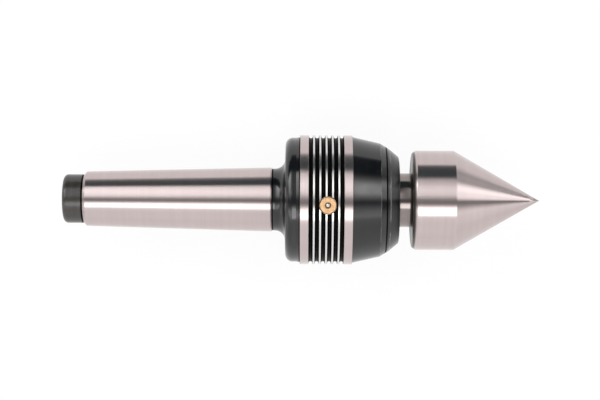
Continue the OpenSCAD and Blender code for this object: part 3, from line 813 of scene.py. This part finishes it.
ball_steel = lapped_steel("balls_lapped_steel", (0.68, 0.68, 0.675), 0.06)
needle_steel = lapped_steel("needles_lapped_steel", (0.64, 0.64, 0.635), 0.09)
oiler_ball_steel = lapped_steel("oiler_ball_steel", (0.62, 0.61, 0.6), 0.05)
plain_spring = lapped_steel("springs_bright_wire", (0.5, 0.5, 0.5), 0.2)

# %% [markdown]
# ## Bearing rings
# The rings and thrust washers are ground all over, and only the track where the balls
# run is lapped. The track is a hollow round the ball circle, so whatever lies within a
# ball's radius and a little more of that circle is track, on every ring of the bearing.

# %% Bearing rings
# Station and radius of the circle that the balls' centres run on, and the track's reach
front_track, thrust_track = (47.0, 18.0, 3.5), (26.0, 13.75, 3.12)

def bearing_ring(name, track_x, track_r, reach):
    """Ground all over, and lapped where the balls run: within reach of the ball circle."""
    made, n = start_finish(name)
    where = own_place(n)
    x, r = station_and_radius(n, where)
    away = hypot(n, n.math("SUBTRACT", x, track_x), n.math("SUBTRACT", r, track_r))
    body = ground_metal(n, where, (0.56, 0.55, 0.545), roughness=0.25)
    gloss = n.remap(cloudy_noise(n, where, 300), 0.3, 0.7, 0.05, 0.12)
    lapped = skin(n, (0.66, 0.655, 0.65, 1), gloss)
    return end_finish(made, n, n.shaders(under(n, away, reach, 0.1), body, lapped))

front_rings = bearing_ring("front_rings_bearing_steel", *front_track)
thrust_rings = bearing_ring("thrust_rings_bearing_steel", *thrust_track)

# %% [markdown]
# ## Pressed sheet
# The needle bearing's cup and cage, the tab washer and the seal's case are pressed from
# sheet, whose rolled skin is mottled. Some are bright and some phosphated, which is a
# dull dark grey, so one function takes the colours, the roughness and how metallic it is.

# %% Pressed sheet
def pressed_sheet(name, dark, pale, roughness=0.35, metallic=1.0):
    made, n = start_finish(name)
    where = own_place(n)
    mottle = cloudy_noise(n, where, 900, 5.0)
    shade = weighed(n, (mottle, 0.6), (cloudy_noise(n, where, 130, 2.0), 0.4))
    gloss = n.remap(mottle, 0.3, 0.7, roughness * 0.8, roughness * 1.25)
    tone = toned(n, shade, 0.35, 0.65, dark, pale)
    return end_finish(made, n, skin(n, tone, gloss, metallic, bump(n, mottle, 0.08)))

case_sheet = pressed_sheet("seal_case_phosphated", (0.05, 0.05, 0.052), (0.1, 0.1, 0.1), 0.5, 0.6)
washer_sheet = pressed_sheet("tab_washer_sheet", (0.42, 0.42, 0.42), (0.56, 0.56, 0.56))
cup_sheet = pressed_sheet("needle_cup_drawn_steel", (0.45, 0.45, 0.455), (0.6, 0.6, 0.6), 0.28)
cage_sheet = pressed_sheet("needle_cage_phosphated", (0.1, 0.095, 0.09), (0.18, 0.17, 0.16), 0.45, 0.8)

# %% [markdown]
# ## Drawn wire
# Spring wire is pulled through a die, which leaves dark streaks along it. Object
# coordinates can't follow a wire round its coil, so this finish reads the wire's own
# map, where one direction runs along the wire and the other round it.

# %% Drawn wire
def drawn_wire(name):
    """Dark streaks that the die drew along the wire, read from the wire's own map."""
    made, n = start_finish(name)
    on_wire = n.add("ShaderNodeUVMap", uv_map="along_wire").outputs[0]
    drawn = n.add("ShaderNodeMapping", {"Vector": on_wire, "Scale": (0.7, 14, 1)}).outputs[0]
    streaks = n.add("ShaderNodeTexNoise", {"Vector": drawn, "Scale": 1.0, "Detail": 3.0}).outputs[0]
    tone = toned(n, streaks, 0.35, 0.65, (0.36, 0.355, 0.35), (0.56, 0.555, 0.55))
    gloss = n.remap(streaks, 0.35, 0.65, 0.34, 0.2)
    return end_finish(made, n, skin(n, tone, gloss, more=bump(n, streaks, 0.1, 0.03 * mm)))

spring_wire = drawn_wire("spring_drawn_wire")
for wire in (seal_garter_coil, oiler_coil_piece):
    wire.data.materials.append(spring_wire)

# %% [markdown]
# ## Moulded rubber
# The seal's lip is black nitrile rubber, moulded in a blasted tool, so it has a very
# fine grain, and a grey bloom comes out of it in patches.

# %% Moulded rubber
def moulded_rubber(name):
    made, n = start_finish(name)
    where = own_place(n)
    bloom = cloudy_noise(n, where, 260, 4.0)
    tone = toned(n, bloom, 0.4, 0.75, (0.010, 0.010, 0.011), (0.024, 0.024, 0.026))
    gloss = n.remap(bloom, 0.3, 0.7, 0.42, 0.6)
    grain = bump(n, cloudy_noise(n, where, 3500, 2.0), 0.15, 0.05 * mm)
    return end_finish(made, n, skin(n, tone, gloss, 0.0, grain | {"IOR": 1.5}))

lip_rubber = moulded_rubber("seal_lip_rubber")

# %% [markdown]
# ## The ring nut
# The nut on the spindle is blackened like the housing. The hook spanner that tightens
# it rubs the edge of its rim and the corner of its face.

# %% Ring nut
nut_rim, nut_face = 18.9, 32.9          # radius and station of the rubbed edges

def ring_nut_finish():
    made, n = start_finish("ring_nut_black")
    where = own_place(n)
    x, r = station_and_radius(n, where)
    edge_wear_and_highlight = any_of(n, line(n, r, nut_rim, 0.1, 0.25), line(n, x, nut_face, 0.05, 0.2))
    return end_finish(made, n, blackened(n, where, edge_wear_and_highlight, roughness=0.24))

nut_black = ring_nut_finish()

# %% [markdown]
# ## Handing out the finishes
# Each solid takes one finish. A solid keeps its mesh and its place, and only the
# material in its slots changes. The colours were chosen for Blender's Standard view,
# which shows a colour as it is written.

# %% Assign
finishes = {
    "housing": housing_skin,
    "nose_cap": nose_cap_skin,
    "spindle": spindle_skin,
    "seal_case": case_sheet,
    "seal_lip": lip_rubber,
    "garter_spring": plain_spring,
    "ring_nut": nut_black,
    "tab_washer": washer_sheet,
    "front_outer_ring": front_rings,
    "front_inner_ring": front_rings,
    "thrust_housing_washer": thrust_rings,
    "thrust_shaft_washer": thrust_rings,
    "front_balls": ball_steel,
    "thrust_balls": ball_steel,
    "front_cage": cage_brass,
    "thrust_cage": cage_brass,
    "needle_cup": cup_sheet,
    "needle_cage": cage_sheet,
    "needle_rollers": needle_steel,
    "oiler_body": oiler_brass,
    "oiler_ball": oiler_ball_steel,
    "oiler_spring": plain_spring,
}
for name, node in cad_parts.items():
    for slot in node.material_slots:
        slot.material = finishes[name]
print("solids dressed:", len(finishes), "of", len(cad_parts))

bpy.context.scene.view_settings.view_transform = "Standard"

# %% [markdown]
